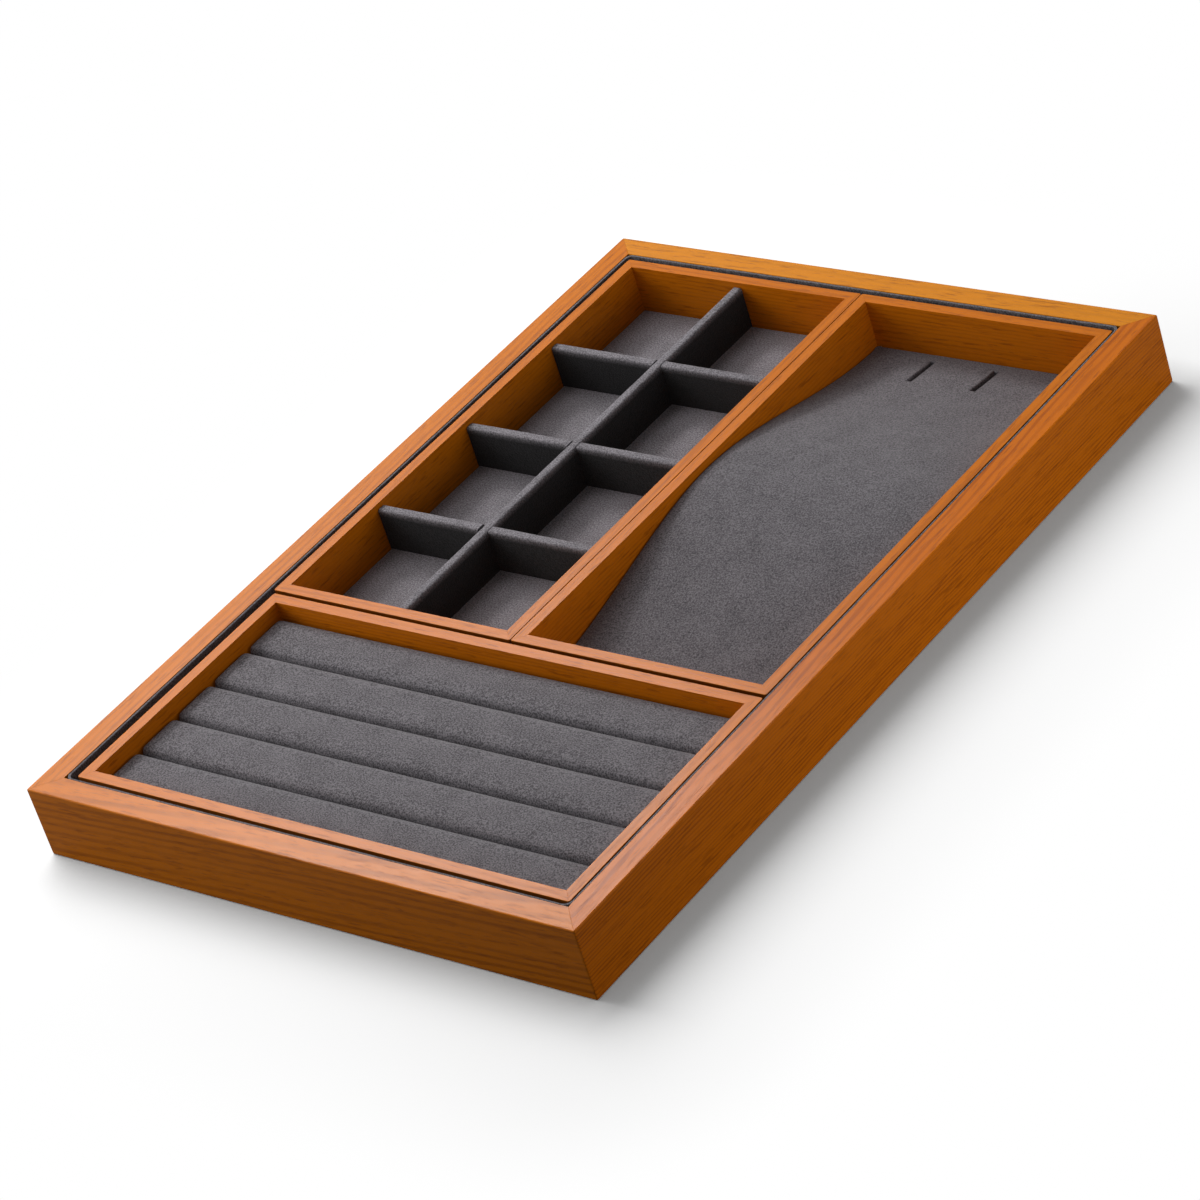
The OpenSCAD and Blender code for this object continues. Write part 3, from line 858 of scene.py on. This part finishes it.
def swell(piece, glued, most, pressure):
    """Inflates a piece. Points that pass the test glued stay put, and all moves shrink alike, so that the
    longest is the most in mm."""
    start = [point.co.copy() for point in piece.data.vertices]
    held = piece.vertex_groups.new(name="glued")
    held.add([p.index for p in piece.data.vertices if glued(p.co / MM)], 1.0, "REPLACE")
    for point in piece.data.vertices:
        point.co *= SIM_SCALE
    cloth = piece.modifiers.new("Cloth", "CLOTH")
    cloth.settings.vertex_group_mass = held.name
    cloth.settings.use_pressure = True
    cloth.settings.uniform_pressure_force = pressure
    cloth.settings.effector_weights.gravity = 0
    cloth.collision_settings.use_collision = False
    for step in range(1, SIM_STEPS + 1):
        scene.frame_set(step)
    bpy.context.view_layer.objects.active = piece
    bpy.ops.object.modifier_apply(modifier=cloth.name)
    scene.frame_set(1)
    moves = [point.co / SIM_SCALE - before for point, before in zip(piece.data.vertices, start)]
    longest = max(move.length for move in moves)
    for point, before, move in zip(piece.data.vertices, start, moves):
        point.co = before + move * min(1, most * MM / longest)
    piece.vertex_groups.clear()
    print(piece.name, "swelled by up to", round(min(longest / MM, most), 2), "mm")


print("Simulation is", "on")

# %% [markdown]
# ## Humped pad
# A sheet of foam rises and falls in one long wave under a tight suede cover. A drawn profile could give the
# wave, but proportional editing is quicker: the middle row of a grid is lifted, and its smooth falloff is
# that wave. The cover is swelled, and then its border is drawn down to the tray's base and rounded.

# %% Wave and border of the pad
PAD_END, PAD_FULLNESS, PAD_EDGE = 1.7, 0.6, 0.7
GRID_ACROSS, GRID_ALONG = 41, 86

low, high = box_mm("necklace_pad_cover")
middle = (low + high) / 2


def pick_points(test):
    """In edit mode, selects the points whose place in mm passes the test."""
    bpy.ops.mesh.select_mode(type="VERT")
    bpy.ops.mesh.select_all(action="DESELECT")
    shape = bmesh.from_edit_mesh(bpy.context.object.data)
    for point in shape.verts:
        point.select_set(bool(test(point.co / MM)))
    shape.select_flush_mode()
    bmesh.update_edit_mesh(bpy.context.object.data)


def on_outline(at):
    """Whether a point lies on the pad's outline, where its cover is glued."""
    return min(at.x - low.x, high.x - at.x, at.y - low.y, high.y - at.y) < NEAR


def pad_border(a, b):
    """Whether an edge lies along the border of the pad's top."""
    side = all(min(p.x - low.x, high.x - p.x) < CLOSE for p in (a, b))
    end = all(min(p.y - low.y, high.y - p.y) < CLOSE for p in (a, b))
    upright = abs(a.x - b.x) < NEAR and abs(a.y - b.y) < NEAR
    return (side or end) and min(a.z, b.z) > low.z + PAD_END / 3 and not upright


deselect()
bpy.ops.mesh.primitive_grid_add(x_subdivisions=GRID_ACROSS, y_subdivisions=GRID_ALONG, size=1)
pad = bpy.context.object
pad.name = "necklace_pad"
pad.scale = ((high.x - low.x) * MM, (high.y - low.y) * MM, 1)
pad.location = Vector((middle.x, middle.y, low.z + PAD_END)) * MM
bpy.ops.object.transform_apply()
bpy.ops.object.mode_set(mode="EDIT")
pick_points(lambda at: abs(at.y - middle.y) < 0.1)
bpy.ops.transform.translate(value=(0, 0, (high.z - PAD_FULLNESS - low.z - PAD_END) * MM),
                            use_proportional_edit=True, proportional_edit_falloff="SMOOTH",
                            proportional_size=(high.y - low.y) / 2 * MM)
deselect()
swell(pad, on_outline, PAD_FULLNESS, pressure=2)
apply_modifier(pad, "SUBSURF", levels=1, render_levels=1)
bpy.ops.object.mode_set(mode="EDIT")
bpy.ops.mesh.select_mode(type="EDGE")
bpy.ops.mesh.select_all(action="SELECT")
bpy.ops.mesh.region_to_loop()
bpy.ops.mesh.extrude_edges_move(TRANSFORM_OT_translate={"value": (0, 0, 0)})
bpy.ops.transform.resize(value=(1, 1, 0), center_override=(0, 0, low.z * MM))
bpy.ops.mesh.edge_face_add()
bpy.ops.mesh.select_all(action="SELECT")
bpy.ops.mesh.normals_make_consistent(inside=False)
pick_edges(pad_border)
bpy.ops.mesh.bevel(offset=PAD_EDGE * MM, segments=3, affect="EDGES")
print("Pad of", [round(v, 1) for v in high - low], "mm")

# %% [markdown]
# Two narrow slots lie near the back of the pad, where the cover dips into the foam. A boolean cut would
# leave a hard edge. So each slot is cut into the top by four planes, drawn in and down for a soft lip, and
# then sunk. The planes cut only the faces near the slot, so that the rest of the grid stays even.

# %% Slots of the pad
SLOT_X, SLOT_Y = (33.3, 61.0), (137.8, 152.9)
SLOT_W, SLOT_LIP, SLOT_DEPTH = 2.0, 0.35, 1.3
SLOT_ROOM = 3
half_slot = SLOT_W / 2 + SLOT_LIP
slot_front, slot_back = SLOT_Y[0] - SLOT_LIP, SLOT_Y[1] + SLOT_LIP


def over_slot(at, facing, x, room=0):
    """Whether a face of the pad's top lies over the slot at x, with so much room around it."""
    return (facing.z > 0.5 and abs(at.x - x) < half_slot + room
            and slot_front - room < at.y < slot_back + room)


bpy.ops.mesh.select_mode(type="FACE")
for x in SLOT_X:
    for at, facing in (((x - half_slot, 0, 0), (1, 0, 0)), ((x + half_slot, 0, 0), (1, 0, 0)),
                       ((0, slot_front, 0), (0, 1, 0)), ((0, slot_back, 0), (0, 1, 0))):
        pick_faces(lambda middle_at, normal: over_slot(middle_at, normal, x, SLOT_ROOM))
        bpy.ops.mesh.bisect(plane_co=Vector(at) * MM, plane_no=facing)
    pick_faces(lambda middle_at, normal: over_slot(middle_at, normal, x))
    bpy.ops.mesh.inset(thickness=SLOT_LIP * MM, depth=-SLOT_LIP * MM)
    bpy.ops.mesh.extrude_region_move(TRANSFORM_OT_translate={"value": (0, 0, -SLOT_DEPTH * MM)})
smooth(pad, 45)
finish_piece(pad, "necklace_pad", "necklace_tray", "suede", stretched_suede,
             "necklace_pad_cover", "necklace_pad_core")
print("Slots:", len(SLOT_X), "in", len(pad.data.polygons), "faces")

# %% [markdown]
# ## Soft rolls
# Five strips of foam are wrapped in suede and glued side by side, with a tight crease between each two of
# them. A cylinder would be too round: the rolls are flat on top. So one roll is made from a box with rounded
# upper edges, remeshed to an even grid and swelled, its underside and ends glued down. The other four are
# copies.

# %% Soft rolls
ROLL_FULLNESS, ROLL_EDGE, VOXEL = 0.3, 2.9, 1.2
ROLL_FIT = Vector((0.05, 0.15, 0))
GLUED_FOOT, GLUED_END = 0.6, 1
ROLLS = 5

low, high = box_mm("ring_roll_cover_1")


def roll_glued(at):
    """Whether a point lies on the underside or at an end of the first roll."""
    return at.z < low.z + GLUED_FOOT or at.x < low.x + GLUED_END or at.x > high.x - GLUED_END


roll = block(low + ROLL_FIT, high - ROLL_FIT - Vector((0, 0, ROLL_FULLNESS)))
roll.name = "ring_roll_1"
bpy.ops.object.mode_set(mode="EDIT")
pick_edges(lambda a, b: min(a.z, b.z) > low.z + ROLL_EDGE and runs_along(a, b, 0, LONG_EDGE))
bpy.ops.mesh.bevel(offset=ROLL_EDGE * MM, segments=6, affect="EDGES")
deselect()
apply_modifier(roll, "REMESH", mode="VOXEL", voxel_size=VOXEL * MM)
swell(roll, roll_glued, ROLL_FULLNESS, pressure=4)
apply_modifier(roll, "SUBSURF", levels=1, render_levels=1)
deselect()
roll.select_set(True)
bpy.ops.object.shade_smooth()
rolls = [roll]
for number in range(2, ROLLS + 1):
    copied = roll.copy()
    copied.data = roll.data.copy()
    scene.collection.objects.link(copied)
    there = box_mm(f"ring_roll_cover_{number}")[0]
    copied.data.transform(Matrix.Translation((there - low) * MM))
    rolls.append(copied)
for number, piece in enumerate(rolls, start=1):
    finish_piece(piece, f"ring_roll_{number}", "ring_tray", "suede", suede,
                 f"ring_roll_cover_{number}", f"ring_roll_core_{number}")
print("Rolls:", len(rolls), "of", len(roll.data.polygons), "faces")

# %% [markdown]
# ## Hidden boards
# The base panel, the tray bases and the card under the rolls are plain flat boards, so their CAD shapes are
# right as they are. They only need their finishes: birch plywood, with fine straight grain, and grey card
# pressed from recycled fibre.

# %% Hidden boards
def board_material(name, dark, pale, fibre_mm, length_mm, roughness):
    """A bare board of fibres that lie along y, so wide and so long."""
    material, tree, output = new_material(name)
    place = add_node(tree, "ShaderNodeTexCoord")
    along = add_node(tree, "ShaderNodeMapping", Vector=place.outputs["Object"],
                     Scale=(1 / (fibre_mm * MM), 1 / (length_mm * MM), 1 / (fibre_mm * MM)))
    fibre = add_node(tree, "ShaderNodeTexNoise", Vector=along.outputs[0],
                     Scale=1.0, Detail=4.0, Roughness=0.6)
    tone = add_node(tree, "ShaderNodeMix", {"data_type": "RGBA"}, in_0=fibre.outputs["Fac"],
                    in_6=linear(dark), in_7=linear(pale))
    relief = add_node(tree, "ShaderNodeBump", Strength=0.3, Distance=0.05 * MM, Height=fibre.outputs["Fac"])
    shader = add_node(tree, "ShaderNodeBsdfPrincipled", Base_Color=tone.outputs[2], Roughness=roughness,
                      Normal=relief.outputs["Normal"])
    tree.links.new(shader.outputs[0], output.inputs["Surface"])
    return material


# Sanded birch plywood: pale, matt, with long fine streaks
plywood = board_material("birch_plywood", "#B58A52", "#DDBB8A", fibre_mm=0.8, length_mm=40, roughness=0.6)
# Pressed grey card: dull, with short flecks
grey_card = board_material("recycled_grey_card", "#6E6A66", "#9A958F",
                           fibre_mm=0.6, length_mm=2, roughness=0.9)
finishes = {"base_panel": plywood, "grid_base": plywood, "necklace_base": plywood, "ring_base": plywood,
            "ring_backing_card": grey_card}
for node, material in finishes.items():
    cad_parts[node].data.materials.clear()
    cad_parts[node].data.materials.append(material)
print("Boards finished:", list(finishes))
